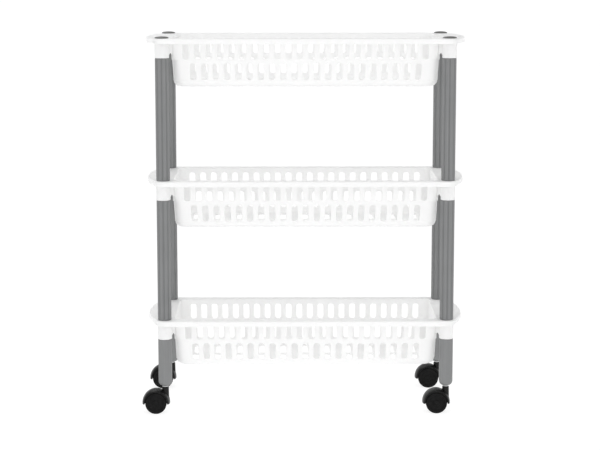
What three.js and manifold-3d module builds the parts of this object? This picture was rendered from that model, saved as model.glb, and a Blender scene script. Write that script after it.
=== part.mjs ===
// A three-tier basket trolley on four swivel casters, in millimetres, +Z up.
// The origin is on the floor at the middle of the trolley. X runs along the baskets, and -Y is the front.
// Every basket has four sleeves at its corners. A fluted tube stands on the rim over each sleeve, and the
// spigot of the tube below comes up through the sleeve into it. Casters push into the lowest tubes.

import * as THREE from "three";
import { mergeVertices } from "three/addons/utils/BufferGeometryUtils.js";
import Module from "manifold-3d";

const wasm = await Module();
wasm.setup();

// ---- Driving dimensions ----

const CLEARANCE = 0.3; // between pieces that meet

const POST_X = 231; // the four posts stand at +-POST_X, +-POST_Y
const POST_Y = 83;
const TIER_PITCH = 230; // from one rim to the next
const LOW_RIM_Z = 156; // top of the bottom basket's rim

const RIM_HALF_X = 262; // the bulging ends of the rim
const RIM_HALF_Y = 100;
const RIM_END_AT_POST_X = 246; // where the end arc passes a post
const RIM_CORNER_R = 20;
const RIM_PLATE = 2.4;
const LIP_HEIGHT = 8.5;
const LIP_WALL = 2.2;

const TUB_HALF_X = 217; // outside of the basket's wall just under the rim
const TUB_HALF_Y = 82;
const TUB_CORNER_R = 15;
const TUB_DEPTH = 78.5; // rim top to the underside of the floor
const TUB_WALL = 2;

const SLOT_PITCH = 18.36;
const SLOT_WIDTH = 10;
const UPPER_SLOT = { top: 8, bottom: 33.5 }; // depths below the rim
const LOWER_SLOT = { top: 40.5, bottom: 67.5 };
const UPPER_SLOTS_LONG = 22; // in a long wall; the lower row has one fewer, half a pitch across
const UPPER_SLOTS_END = 7; // in an end wall
const FLOOR_SLOT = { length: 52, columns: 11, rows: 2, rowPitch: 62 };

const SLEEVE_R = 11.8;
const SLEEVE_DROP = 31.5; // rim top to the sleeve's lower end
const SLEEVE_BORE_R = 9.4;
const SLEEVE_WEB = 4;

const TUBE_CREST_R = 11.3;
const TUBE_GROOVE_R = 10.7;
const TUBE_FLUTES = 8;
const TUBE_BORE_R = 9.4;
const TUBE_SHOULDER = 4; // the ring that joins a tube to its spigot
const SPIGOT_R = 8.9;
const SPIGOT_BORE_R = 7.2;
const SPIGOT_RISE = 13; // how far a spigot goes into the tube above
const TUBE_FOOT_Z = 46; // the rounded lower end of the lowest tubes
const TUBE_FOOT_HEIGHT = 6.5;
const TUBE_FOOT_HOLE_R = 5.2;

const CAP_R = 11.2;
const CAP_DOME = 2.8;
const CAP_PLUG_R = 6.8;
const CAP_PLUG_LENGTH = 14;

const SOCKET_R = 8.9;
const SOCKET_BORE_R = 4.1;
const SOCKET_BOTTOM_Z = 49.6;
const SOCKET_TOP_Z = 79;

const STEM_TOP_Z = 76;
const STEM_R = 3.6;
const STEM_GROOVE = { bottom: 69.5, top: 72, radius: 2.8 };
const STEM_COLLAR = { bottom: 43.9, top: 45.7, radius: 4.8 };
const STEM_SHANK_R = 2.9;
const STEM_BOTTOM_Z = 28;
const GRIP_RING = { inner: 3.1, outer: 3.8, bottom: 69.9, top: 71.6 };

const WHEEL_R = 17.5;
const WHEEL_INNER_Y = 4.6; // the two wheels stand either side of the housing's web
const WHEEL_OUTER_Y = 12.8;
const WHEEL_BORE_R = 2.35;
const WHEEL_BORE_END_Y = 10.7;
const TRAIL = 15.5; // the axle is this far behind the stem
const AXLE_R = 2;
const AXLE_HALF = 10.2;

const HOOD_R = 22.8;
const HOOD_WALL = 3;
const HOOD_HALF_Y = 13.4;
const HOOD_DROP = THREE.MathUtils.degToRad(3); // how far the hood's ends pass the axle's height
const WEB_HALF_Y = 4.2;
const WEB_LOW_R = 9.5;
const NECK_R = 5.5;
const NECK_BOTTOM_Z = 33.6;
const NECK_TOP_Z = 43.5;
const NECK_BORE_R = 3.3;
const NECK_BORE_BOTTOM_Z = 27.6;
const HOUSING_BORE_R = 2.35;

const ROUND = 12; // sides of a small round piece
const WHEEL_SIDES = 18;
const HOOD_SEGMENTS = 9;
const PAST = 1; // how far a cutter runs past the face it cuts

// ---- Materials ----

const white = { color: 0xf4f4f2, roughness: 0.45, metalness: 0 };
const grey = { color: 0x8c8e90, roughness: 0.5, metalness: 0 };
const capGrey = { color: 0x7c7e7c, roughness: 0.5, metalness: 0 };
const black = { color: 0x141414, roughness: 0.4, metalness: 0 };
const nylon = { color: 0xd8d8d4, roughness: 0.5, metalness: 0 };
const steel = { color: 0xc8c8c8, roughness: 0.3, metalness: 1 };

// ---- Helpers ----

function solid(geometry) {
  const bare = geometry.clone();
  bare.deleteAttribute("normal");
  bare.deleteAttribute("uv");
  const merged = mergeVertices(bare, 1e-4);
  const vertProperties = new Float32Array(merged.attributes.position.array);
  const triVerts = new Uint32Array(merged.index.array);
  return new wasm.Manifold(new wasm.Mesh({ numProp: 3, vertProperties, triVerts }));
}

function geometryOf(manifold) {
  const mesh = manifold.getMesh();
  const geometry = new THREE.BufferGeometry();
  geometry.setAttribute("position", new THREE.BufferAttribute(mesh.vertProperties, 3));
  geometry.setIndex(new THREE.BufferAttribute(mesh.triVerts, 1));
  geometry.computeVertexNormals();
  return geometry;
}

function joined(solids) {
  return solids.reduce((sum, next) => sum.add(next));
}

function piece(name, manifold, finish) {
  const mesh = new THREE.Mesh(geometryOf(manifold), new THREE.MeshStandardMaterial(finish));
  mesh.name = name;
  return mesh;
}

// A box given by its lowest and highest corners.
function block(low, high) {
  const geometry = new THREE.BoxGeometry(high[0] - low[0], high[1] - low[1], high[2] - low[2]);
  geometry.translate((low[0] + high[0]) / 2, (low[1] + high[1]) / 2, (low[2] + high[2]) / 2);
  return solid(geometry);
}

// An upright cylinder about (x, y).
function post(radius, bottom, top, x = 0, y = 0) {
  const geometry = new THREE.CylinderGeometry(radius, radius, top - bottom, ROUND);
  geometry.rotateX(Math.PI / 2);
  geometry.translate(x, y, (bottom + top) / 2);
  return solid(geometry);
}

// A turned piece about Z from [radius, height] points that close on themselves or on the axis.
function turned(points, sides = ROUND) {
  const geometry = new THREE.LatheGeometry(points.map(([r, z]) => new THREE.Vector2(r, z)), sides);
  geometry.rotateX(Math.PI / 2);
  return solid(geometry);
}

function ring(inner, outer, bottom, top) {
  return turned([[inner, bottom], [outer, bottom], [outer, top], [inner, top], [inner, bottom]]);
}

function extruded(shape, bottom, top, curveSegments = 4) {
  const geometry = new THREE.ExtrudeGeometry(shape, {
    depth: top - bottom,
    bevelEnabled: false,
    curveSegments,
  });
  geometry.translate(0, 0, bottom);
  return solid(geometry);
}

// Where the row of `count` slots is cut: centres at one pitch, the row centred on 0.
function rowCentres(count, pitch) {
  return Array.from({ length: count }, (_, i) => (i - (count - 1) / 2) * pitch);
}

// ---- Baskets (modelled with the rim's top at z = 0) ----

// The rim seen from above, `inset` inside its outer edge: straight sides, bulging ends and small corners.
function rimOutline(inset) {
  const sagitta = RIM_HALF_X - RIM_END_AT_POST_X;
  const endR = (POST_Y * POST_Y) / (2 * sagitta) + sagitta / 2;
  const endX = RIM_HALF_X - endR;
  const cornerY = RIM_HALF_Y - RIM_CORNER_R;
  const cornerX = endX + Math.sqrt((endR - RIM_CORNER_R) ** 2 - cornerY ** 2);
  const turn = Math.atan2(cornerY, cornerX - endX);
  const cornerR = RIM_CORNER_R - inset;
  const half = Math.PI / 2;
  const shape = new THREE.Shape();
  shape.absarc(cornerX, -cornerY, cornerR, -half, -turn);
  shape.absarc(endX, 0, endR - inset, -turn, turn);
  shape.absarc(cornerX, cornerY, cornerR, turn, half);
  shape.absarc(-cornerX, cornerY, cornerR, half, Math.PI - turn);
  shape.absarc(-endX, 0, endR - inset, Math.PI - turn, Math.PI + turn);
  shape.absarc(-cornerX, -cornerY, cornerR, Math.PI + turn, 3 * half);
  return shape;
}

function roundedRectangle(halfX, halfY, radius) {
  const x = halfX - radius;
  const y = halfY - radius;
  const half = Math.PI / 2;
  const shape = new THREE.Shape();
  shape.absarc(x, -y, radius, -half, 0);
  shape.absarc(x, y, radius, 0, half);
  shape.absarc(-x, y, radius, half, Math.PI);
  shape.absarc(-x, -y, radius, Math.PI, 3 * half);
  return shape;
}

// A tapered tub from a rounded rectangle. Each level is [depth below the rim, inset of the wall].
function tub(halfX, halfY, radius, levels) {
  const steps = levels.length - 1;
  const geometry = new THREE.ExtrudeGeometry(roundedRectangle(halfX, halfY, radius), {
    depth: steps,
    steps,
    bevelEnabled: false,
    curveSegments: 3,
  });
  const position = geometry.attributes.position;
  for (let i = 0; i < position.count; i += 1) {
    const [depth, inset] = levels[steps - Math.round(position.getZ(i))];
    position.setX(i, position.getX(i) - Math.sign(position.getX(i)) * inset);
    position.setY(i, position.getY(i) - Math.sign(position.getY(i)) * inset);
    position.setZ(i, -depth);
  }
  return solid(geometry);
}

// The wall leans in a little, steps in between the slot rows and rounds into the floor.
function tubOutside() {
  const levels = [[0, 0], [35, 0.6], [36, 1.4], [68, 3], [74, 6], [TUB_DEPTH, 11]];
  return tub(TUB_HALF_X, TUB_HALF_Y, TUB_CORNER_R, levels);
}

function tubInside() {
  const floorTop = TUB_DEPTH - TUB_WALL;
  const levels = [[-PAST, 0], [35, 0.8], [68, 3], [73, 6], [floorTop, 11.5]];
  const inner = [TUB_HALF_X - TUB_WALL, TUB_HALF_Y - TUB_WALL, TUB_CORNER_R - TUB_WALL];
  return tub(...inner, levels);
}

function wallSlots() {
  const cutters = [];
  const reachX = TUB_HALF_X + PAST;
  const reachY = TUB_HALF_Y + PAST;
  const half = SLOT_WIDTH / 2;
  [[UPPER_SLOT, 0], [LOWER_SLOT, 1]].forEach(([slot, fewer]) => {
    rowCentres(UPPER_SLOTS_LONG - fewer, SLOT_PITCH).forEach((x) => {
      cutters.push(block([x - half, -reachY, -slot.bottom], [x + half, reachY, -slot.top]));
    });
    rowCentres(UPPER_SLOTS_END - fewer, SLOT_PITCH).forEach((y) => {
      cutters.push(block([-reachX, y - half, -slot.bottom], [reachX, y + half, -slot.top]));
    });
  });
  return joined(cutters);
}

function floorSlots() {
  const cutters = [];
  const floor = [-TUB_DEPTH - PAST, PAST * 2 + TUB_WALL - TUB_DEPTH];
  rowCentres(FLOOR_SLOT.columns, 2 * SLOT_PITCH).forEach((x) => {
    rowCentres(FLOOR_SLOT.rows, FLOOR_SLOT.rowPitch).forEach((y) => {
      const low = [x - SLOT_WIDTH / 2, y - FLOOR_SLOT.length / 2, floor[0]];
      const high = [x + SLOT_WIDTH / 2, y + FLOOR_SLOT.length / 2, floor[1]];
      cutters.push(block(low, high));
    });
  });
  return joined(cutters);
}

// A thin upright web from a sleeve to the nearest corner of the tub.
function sleeveWeb(x, y) {
  const cornerX = Math.sign(x) * (TUB_HALF_X - TUB_CORNER_R);
  const cornerY = Math.sign(y) * (TUB_HALF_Y - TUB_CORNER_R);
  const length = Math.hypot(x - cornerX, y - cornerY);
  const height = SLEEVE_DROP - RIM_PLATE;
  const geometry = new THREE.BoxGeometry(length, SLEEVE_WEB, height);
  geometry.rotateZ(Math.atan2(y - cornerY, x - cornerX));
  geometry.translate((x + cornerX) / 2, (y + cornerY) / 2, -RIM_PLATE / 2 - height / 2);
  return solid(geometry);
}

function basket() {
  const rim = extruded(rimOutline(0), -LIP_HEIGHT, 0);
  const underRim = extruded(rimOutline(LIP_WALL), -LIP_HEIGHT - PAST, -RIM_PLATE);
  const added = [rim.subtract(underRim), tubOutside()];
  const bores = [];
  corners.forEach(({ x, y }) => {
    added.push(post(SLEEVE_R, -SLEEVE_DROP, -RIM_PLATE / 2, x, y));
    added.push(sleeveWeb(x, y));
    bores.push(post(SLEEVE_BORE_R, -SLEEVE_DROP - PAST, PAST, x, y));
  });
  const cuts = [tubInside(), wallSlots(), floorSlots(), ...bores];
  return cuts.reduce((body, cutter) => body.subtract(cutter), joined(added));
}

// ---- Tubes, caps and sockets (modelled about their own axis) ----

function flutedOutline() {
  const shape = new THREE.Shape();
  for (let i = 0; i < 2 * TUBE_FLUTES; i += 1) {
    const angle = (i * Math.PI) / TUBE_FLUTES;
    const radius = i % 2 === 0 ? TUBE_GROOVE_R : TUBE_CREST_R;
    const go = i === 0 ? "moveTo" : "lineTo";
    shape[go](radius * Math.cos(angle), radius * Math.sin(angle));
  }
  shape.closePath();
  return shape;
}

// A tube from `bottom` to `top` with its spigot on top. The bore steps down in the shoulder under the spigot.
function tube(bottom, top, spigotTop) {
  const outside = extruded(flutedOutline(), bottom, top).add(post(SPIGOT_R, top - PAST, spigotTop));
  const shoulder = top - TUBE_SHOULDER;
  const bore = turned([
    [0, bottom - PAST],
    [TUBE_BORE_R, bottom - PAST],
    [TUBE_BORE_R, shoulder],
    [SPIGOT_BORE_R, shoulder],
    [SPIGOT_BORE_R, spigotTop + PAST],
    [0, spigotTop + PAST],
  ]);
  return outside.subtract(bore);
}

// The lowest tubes end in a rounded foot with a hole for the caster's stem.
function tubeFoot() {
  const top = TUBE_FOOT_Z + TUBE_FOOT_HEIGHT;
  const floorTop = TUBE_FOOT_Z + 3;
  return turned([
    [TUBE_FOOT_HOLE_R, TUBE_FOOT_Z],
    [6.8, TUBE_FOOT_Z],
    [9.6, TUBE_FOOT_Z + 1.8],
    [TUBE_GROOVE_R - 0.2, top],
    [TUBE_BORE_R, top],
    [TUBE_BORE_R, floorTop],
    [TUBE_FOOT_HOLE_R, floorTop],
    [TUBE_FOOT_HOLE_R, TUBE_FOOT_Z],
  ]);
}

function cap() {
  const points = [
    [0, -CAP_PLUG_LENGTH],
    [CAP_PLUG_R, -CAP_PLUG_LENGTH],
    [CAP_PLUG_R, 0],
    [CAP_R, 0],
    [CAP_R - 0.3, CAP_DOME * 0.35],
    [CAP_R * 0.8, CAP_DOME * 0.75],
    [CAP_R * 0.4, CAP_DOME],
    [0, CAP_DOME],
  ];
  return turned(points);
}

// ---- Casters (modelled at the post's axis, trailing towards -X) ----

function stem() {
  const groove = STEM_GROOVE;
  const collar = STEM_COLLAR;
  return turned([
    [0, STEM_BOTTOM_Z],
    [STEM_SHANK_R, STEM_BOTTOM_Z],
    [STEM_SHANK_R, collar.bottom],
    [collar.radius, collar.bottom],
    [collar.radius, collar.top],
    [STEM_R, collar.top],
    [STEM_R, groove.bottom],
    [groove.radius, groove.bottom],
    [groove.radius, groove.top],
    [STEM_R, groove.top],
    [STEM_R, STEM_TOP_Z],
    [0, STEM_TOP_Z],
  ]);
}

// A round or arched plate in the XZ plane about the axle, `halfY` either side of the middle.
function plate(shape, halfY) {
  const geometry = new THREE.ExtrudeGeometry(shape, {
    depth: 2 * halfY,
    bevelEnabled: false,
    curveSegments: HOOD_SEGMENTS,
  });
  geometry.rotateX(Math.PI / 2);
  geometry.translate(-TRAIL, halfY, WHEEL_R);
  return solid(geometry);
}

function crossPin(radius, halfY) {
  const geometry = new THREE.CylinderGeometry(radius, radius, 2 * halfY, ROUND);
  geometry.translate(-TRAIL, 0, WHEEL_R);
  return solid(geometry);
}

function housing() {
  const start = -HOOD_DROP;
  const end = Math.PI + HOOD_DROP;
  const hood = new THREE.Shape();
  hood.absarc(0, 0, HOOD_R, start, end);
  hood.absarc(0, 0, HOOD_R - HOOD_WALL, end, start, true);
  const web = new THREE.Shape();
  web.absarc(0, 0, HOOD_R - HOOD_WALL / 2, start, end);
  web.absarc(0, 0, WEB_LOW_R, end, start + 2 * Math.PI);
  const body = joined([
    plate(hood, HOOD_HALF_Y),
    plate(web, WEB_HALF_Y),
    post(NECK_R, NECK_BOTTOM_Z, NECK_TOP_Z),
  ]);
  const stemBore = post(NECK_BORE_R, NECK_BORE_BOTTOM_Z, NECK_TOP_Z + PAST);
  return body.subtract(stemBore).subtract(crossPin(HOUSING_BORE_R, WEB_HALF_Y + PAST));
}

// A wheel with its outer face closed. `side` is -1 for the front wheel of the pair and 1 for the back one.
function wheel(side) {
  const outer = WHEEL_OUTER_Y;
  const points = [
    [0, WHEEL_BORE_END_Y],
    [WHEEL_BORE_R, WHEEL_BORE_END_Y],
    [WHEEL_BORE_R, WHEEL_INNER_Y],
    [WHEEL_R, WHEEL_INNER_Y],
    [WHEEL_R, outer - 0.9],
    [WHEEL_R - 0.9, outer],
    [14.4, outer],
    [13.6, outer - 0.7],
    [0, outer - 0.7],
  ];
  const profile = points.map(([r, y]) => new THREE.Vector2(r, y));
  const geometry = new THREE.LatheGeometry(profile, WHEEL_SIDES);
  if (side < 0) {
    geometry.rotateX(Math.PI);
  }
  geometry.translate(-TRAIL, 0, WHEEL_R);
  return solid(geometry);
}

// ---- Assembly ----

const corners = [
  { name: "front_left", x: -POST_X, y: -POST_Y },
  { name: "front_right", x: POST_X, y: -POST_Y },
  { name: "back_left", x: -POST_X, y: POST_Y },
  { name: "back_right", x: POST_X, y: POST_Y },
];
const rims = ["bottom", "middle", "top"].map((name, i) => ({ name, z: LOW_RIM_Z + i * TIER_PITCH }));

function addTo(group, name, manifold, finish, z = 0) {
  const mesh = piece(name, manifold, finish);
  mesh.position.z = z;
  group.add(mesh);
}

// The posts' tubes: the first stands on the caster, the others on a rim, and each ends under a sleeve.
function addTubes(group, corner) {
  ["lower", "middle", "upper"].forEach((name, i) => {
    const rim = rims[i].z;
    const bottom = i === 0 ? TUBE_FOOT_Z + TUBE_FOOT_HEIGHT - PAST / 2 : rims[i - 1].z + CLEARANCE;
    const spigotTop = i === 2 ? rim - CLEARANCE : rim + SPIGOT_RISE;
    const straight = tube(bottom, rim - SLEEVE_DROP - CLEARANCE, spigotTop);
    const whole = i === 0 ? straight.add(tubeFoot()) : straight;
    addTo(group, `${name}_tube_${corner}`, whole, grey);
  });
}

function addCaster(group, corner) {
  const grip = ring(GRIP_RING.inner, GRIP_RING.outer, GRIP_RING.bottom, GRIP_RING.top);
  const socket = ring(SOCKET_BORE_R, SOCKET_R, SOCKET_BOTTOM_Z, SOCKET_TOP_Z);
  addTo(group, `caster_socket_${corner}`, socket, nylon);
  addTo(group, `caster_stem_${corner}`, stem(), steel);
  addTo(group, `grip_ring_${corner}`, grip, steel);
  addTo(group, `caster_housing_${corner}`, housing(), black);
  addTo(group, `caster_axle_${corner}`, crossPin(AXLE_R, AXLE_HALF), steel);
  addTo(group, `front_wheel_${corner}`, wheel(-1), black);
  addTo(group, `back_wheel_${corner}`, wheel(1), black);
}

const trolley = new THREE.Group();

rims.forEach(({ name, z }) => {
  addTo(trolley, `${name}_basket`, basket(), white, z);
});

corners.forEach(({ name, x, y }) => {
  const stack = new THREE.Group();
  stack.position.set(x, y, 0);
  addTubes(stack, name);
  addTo(stack, `cap_${name}`, cap(), capGrey, rims[2].z + CLEARANCE);
  addCaster(stack, name);
  trolley.add(stack);
});

export default trolley;
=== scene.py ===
"""A three-tier basket trolley on casters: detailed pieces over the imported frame, in metres."""

import bisect
import math

import bmesh
import bpy
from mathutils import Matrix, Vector
from mathutils.geometry import delaunay_2d_cdt


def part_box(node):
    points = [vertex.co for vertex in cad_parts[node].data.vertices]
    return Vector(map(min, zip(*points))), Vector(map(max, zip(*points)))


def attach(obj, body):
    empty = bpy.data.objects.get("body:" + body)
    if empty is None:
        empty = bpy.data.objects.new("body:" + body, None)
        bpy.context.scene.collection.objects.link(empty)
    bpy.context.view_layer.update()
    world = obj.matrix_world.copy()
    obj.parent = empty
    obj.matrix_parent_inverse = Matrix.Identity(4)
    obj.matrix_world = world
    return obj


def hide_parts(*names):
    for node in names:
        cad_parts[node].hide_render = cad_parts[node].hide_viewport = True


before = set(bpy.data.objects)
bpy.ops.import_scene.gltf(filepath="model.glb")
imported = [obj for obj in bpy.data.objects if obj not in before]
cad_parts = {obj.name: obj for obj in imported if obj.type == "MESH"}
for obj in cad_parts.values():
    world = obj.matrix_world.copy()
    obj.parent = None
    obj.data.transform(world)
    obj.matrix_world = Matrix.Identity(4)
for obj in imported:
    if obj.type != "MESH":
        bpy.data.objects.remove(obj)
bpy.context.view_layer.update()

MM = 0.001
CORNERS = ("front_left", "front_right", "back_left", "back_right")
TIERS = ("bottom", "middle", "top")

# Sides and steps of round shapes
SMALL_SIDES = 48
CAP_SIDES = 72
WHEEL_SIDES = 96
AXLE_SIDES = 40
ROUND_STEPS = 12

# Shapes of the moulded baskets, as in the CAD but with rounded edges
RIM_END_AT_POST_X = 246 * MM
RIM_END_STEPS = 28
RIM_CORNER_R = 20 * MM
RIM_CORNER_STEPS = 9
RIM_PLATE = 2.4 * MM
RIM_FILLET = 1.4 * MM
FILLET_STEPS = 4
LIP_HEIGHT = 8.5 * MM
LIP_WALL = 2.2 * MM
LIP_TOP_R = 2.6 * MM
LIP_FOOT_R = 0.5 * MM
TUB_HALF_X = 217 * MM
TUB_HALF_Y = 82 * MM
TUB_CORNER_R = 15 * MM
TUB_WALL = 2 * MM
TUB_DEPTH = 78.5 * MM
BOTTOM_STEPS = 8

# Down the tub's wall from the rim's top: where each ledge starts and ends, and the wall's inset
# at the rim and at those four depths
LEDGE = (35 * MM, 35.4 * MM)
BASE_LEDGE = (68.3 * MM, 68.7 * MM)
WALL_INSETS = (0.0, 0.6 * MM, 1.7 * MM, 3.4 * MM, 4.0 * MM)

# The slots, the rows of cells that they are cut from, and the steps along one cell
SLOTS_LONG = 22
SLOTS_END = 7
SLOT_WIDTH = 10 * MM
SLOT_CORNER_R = 4 * MM
SLOT_BEVEL = 0.45 * MM
UPPER_SLOT = (8 * MM, 33.5 * MM)
LOWER_SLOT = (40.5 * MM, 67.2 * MM)
UPPER_ROW = (6.5 * MM, 34.7 * MM)
LOWER_ROW = (36.3 * MM, 68.0 * MM)
CELL_STEPS = 6
FLOOR_SLOT = {"length": 52 * MM, "columns": 11, "rows": 2, "pitch_x": 36.72 * MM, "pitch_y": 62 * MM}

# The sleeves, and the web from each to the tub, which sinks a little into both
SLEEVE_R = 11.8 * MM
SLEEVE_BORE_R = 9.4 * MM
SLEEVE_DROP = 31.5 * MM
SLEEVE_DRAFT = 0.3 * MM
SLEEVE_EDGE_R = 0.9 * MM
SLEEVE_BORE_EDGE_R = 0.5 * MM
SLEEVE_MOUTH = 0.3 * MM
SLEEVE_WEB_HALF = 2 * MM
SLEEVE_WEB_RISE = 3 * MM
SLEEVE_WEB_SCOOP = 5 * MM
SLEEVE_WEB_IN_TUB = 0.15 * MM
SLEEVE_WEB_IN_SLEEVE = 0.3 * MM
SLEEVE_WEB_STEPS = 8

# Shapes of the posts
TUBE_R = 11.3 * MM
TUBE_GAP = 0.3 * MM
TUBE_LOW_EDGE = 0.4 * MM
TUBE_EDGE = 0.5 * MM
TUBE_BORE_R = 9.4 * MM
FLUTES = 8
FLUTE_STEPS = 20
FLUTE_DEPTH = 1.6 * MM
FLUTE_REACH = math.radians(14)
FLUTE_AT_EDGE = 0.6
FLUTE_RING = 3 * MM
SHOULDER = 4 * MM
SPIGOT_R = 8.9 * MM
SPIGOT_BORE_R = 7.2 * MM
SPIGOT_TAPER = 1 * MM
SPIGOT_TAPER_IN = 0.7 * MM
FOOT_HEIGHT = 8.3 * MM
FOOT_FLUTE_DEPTH = 0.25 * MM
FOOT_HOLE_R = 5.2 * MM
FOOT_HOLE_EDGE = 0.3 * MM
FOOT_FLOOR = 3 * MM
FOOT_SLOPE = 3 * MM
FOOT_SLOPE_HEIGHT = 3.6 * MM
CAP_PLUG_R = 6.8 * MM
CAP_PLUG_LENGTH = 14 * MM
CAP_PLUG_EDGE = 0.6 * MM
CAP_EDGE = 0.2 * MM
CAP_SIDE = 0.7 * MM
CAP_STEPS = 9
CAP_FLATNESS = 1.1

# Shapes of the casters
HOOD_WALL = 4.3 * MM
HOOD_CROWN = 3.6 * MM
HOOD_DROP = math.radians(3)
HOOD_STEPS = 56
HOOD_INNER_R = 0.4 * MM
HOUSING_WEB_HALF = 4.2 * MM
HOUSING_WEB_LOW_R = 9.5 * MM
HOUSING_WEB_EDGE = 0.6 * MM
HOUSING_WEB_STEPS = (40, 24)
NECK_R = 5.5 * MM
NECK_FLARE = 0.4 * MM
NECK_EDGE_R = 0.8 * MM
NECK_IN_HOOD = 9 * MM
NECK_BORE_R = 3.3 * MM
NECK_BORE_EDGE = 0.3 * MM
NECK_BORE_DEPTH = 15.9 * MM
SOCKET_BORE_R = 4.1 * MM
SOCKET_EDGE = 0.5 * MM
GRIP_RING_BORE_R = 3.1 * MM
GRIP_RING_EDGE = 0.2 * MM
STEM_SHANK_R = 2.9 * MM
STEM_SHAFT_R = 3.6 * MM
STEM_GROOVE_R = 2.8 * MM
STEM_GROOVE_EDGE = 0.2 * MM
STEM_GROOVE_DEPTHS = (6.5 * MM, 4 * MM)
STEM_COLLAR_HEIGHTS = (15.9 * MM, 17.7 * MM)
STEM_COLLAR_LOW_EDGE = 0.3 * MM
STEM_EDGE = 0.5 * MM
STEM_TIP = 1.2 * MM
STEM_TIP_IN = 1 * MM
AXLE_CHAMFER = 0.4 * MM

# The wheels, with the outer face from the hub outward as (radius, depth under the face)
WHEEL_HUB = ((0.0, 0.5 * MM), (2.52 * MM, 0.55 * MM))
WHEEL_HUB_EDGE = (4.2 * MM, 1.2 * MM)
WHEEL_HUB_EDGE_R = 0.6 * MM
WHEEL_DISH = ((5.2 * MM, 1.7 * MM), (11.6 * MM, 1.7 * MM), (12.6 * MM, 1.5 * MM))
WHEEL_RIM = ((13.4 * MM, 0.3 * MM), (13.9 * MM, 0.0), (15.6 * MM, 0.0))
WHEEL_OUTER_R = 1.5 * MM
WHEEL_INNER_R = 0.8 * MM
WHEEL_GROOVE_DEPTH = 0.35 * MM
WHEEL_GROOVE_HALF = 0.5 * MM
WHEEL_GROOVE_MOUTH = 0.9 * MM
WHEEL_BORE_R = 2.35 * MM
WHEEL_BORE_EDGE = 0.3 * MM
WHEEL_BORE_DEPTH = 6.1 * MM

# Looks: pointiness along convex edges, pointiness in channels where the tubes' grooves get painted
# shade, and the dusty band of a wheel's tread
CONVEX = (0.52, 0.6)
HOLLOW = (0.44, 0.495)
DUSTY_R = (16.9 * MM, 17.4 * MM)

# The studio and the camera
FLOOR_GREY = 0.25
FLOOR_LIGHT = 0.85
SWEEP_R = 30.0
SWEEP_BEND = 4.0
SWEEP_HEIGHT = 6.5
SWEEP_SIDES = 96
SWEEP_STEPS = 16
WORLD_LIGHT = 0.49
SUN_LIGHT = 0.8
SUN_ANGLE = math.radians(70)
SUN_TILT = math.radians(32)
AREA_LIGHTS = (
    {"name": "key", "place": (2.3, -2.4, 1.5), "aim": (0.0, 0.0, 0.35), "size": 0.5, "power": 4},
    {"name": "fill", "place": (-2.3, -2.4, 1.5), "aim": (0.0, 0.0, 0.35), "size": 0.5, "power": 3},
    {"name": "back", "place": (-0.8, 1.3, 2.2), "aim": (0.0, 0.0, 0.3), "size": 0.9, "power": 9},
)
LIGHT_BOUNCES = 16
DIFFUSE_BOUNCES = 12
CAMERA_PLACE = (-0.0325, -2.8183, 0.7589)
CAMERA_TILT = math.radians(90 - 8.25)
CAMERA_TURN = math.radians(-0.486)
CAMERA_SENSOR = 36.0
CAMERA_LENS = 102.17
CAMERA_SHIFT_Y = -0.05
CAMERA_CLIP_END = 200.0

SHARP = math.radians(40)
WELD_DIGITS = 8
FLAT_TOLERANCE = 1e-9


# ---- Mesh building ----

class Builder:
    """Collects a mesh's faces. Points at the same place are one vertex."""

    def __init__(self):
        self.verts = []
        self.faces = []
        self.known = {}

    def vertex(self, point):
        key = tuple(round(value, WELD_DIGITS) for value in point)
        if key not in self.known:
            self.known[key] = len(self.verts)
            self.verts.append(Vector(point))
        return self.known[key]

    def loop(self, points):
        return [self.vertex(point) for point in points]

    def face(self, corners):
        distinct = list(dict.fromkeys(corners))
        if len(distinct) > 2:
            self.faces.append(distinct)

    def bridge(self, first, second, closed=True):
        """Quads between two rows of the same number of vertices."""
        count = len(first)
        for i in range(count if closed else count - 1):
            j = (i + 1) % count
            self.face((first[i], first[j], second[j], second[i]))

    def skin(self, loops, closed=True):
        """Bridges each row to the next one."""
        for first, second in zip(loops, loops[1:]):
            self.bridge(first, second, closed)

    def flat(self, outer, holes):
        """Triangles on a level face inside the outer loop and outside the holes."""
        indices = []
        areas = []
        for ring in (outer, *holes):
            areas.append(range(len(indices), len(indices) + len(ring)))
            indices += ring
        points = [self.verts[index].xy for index in indices]
        inside_with_holes = 2
        found = delaunay_2d_cdt(points, [], areas, inside_with_holes, FLAT_TOLERANCE)
        source = [indices[origin[0]] for origin in found[3]]
        for triangle in found[2]:
            self.face([source[i] for i in triangle])

    def turned(self, profile, sides, centre, axis="Z"):
        """A body turned about an axis through centre, from a closed profile of (radius, height)."""
        loops = []
        for radius, height in profile:
            points = []
            for i in range(sides):
                angle = 2 * math.pi * i / sides
                across = (radius * math.cos(angle), radius * math.sin(angle))
                if axis == "Z":
                    offset = (across[0], across[1], height)
                else:
                    offset = (across[0], height, across[1])
                points.append(Vector(centre) + Vector(offset))
            loops.append(self.loop(points))
        self.skin(loops + loops[:1])

    def make(self, name, material, body, *nodes):
        """Makes the object, rides it on a body and lets it stand for CAD nodes."""
        mesh = bpy.data.meshes.new(name)
        mesh.from_pydata(self.verts, [], self.faces)
        shaped = bmesh.new()
        shaped.from_mesh(mesh)
        bmesh.ops.recalc_face_normals(shaped, faces=shaped.faces)
        shaped.to_mesh(mesh)
        shaped.free()
        mesh.polygons.foreach_set("use_smooth", [True] * len(mesh.polygons))
        mesh.set_sharp_from_angle(angle=SHARP)
        piece = bpy.data.objects.new(name, mesh)
        bpy.context.scene.collection.objects.link(piece)
        weighted = piece.modifiers.new("weighted_normals", "WEIGHTED_NORMAL")
        weighted.keep_sharp = True
        mesh.materials.append(material)
        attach(piece, body)
        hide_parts(*nodes)
        return piece


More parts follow.
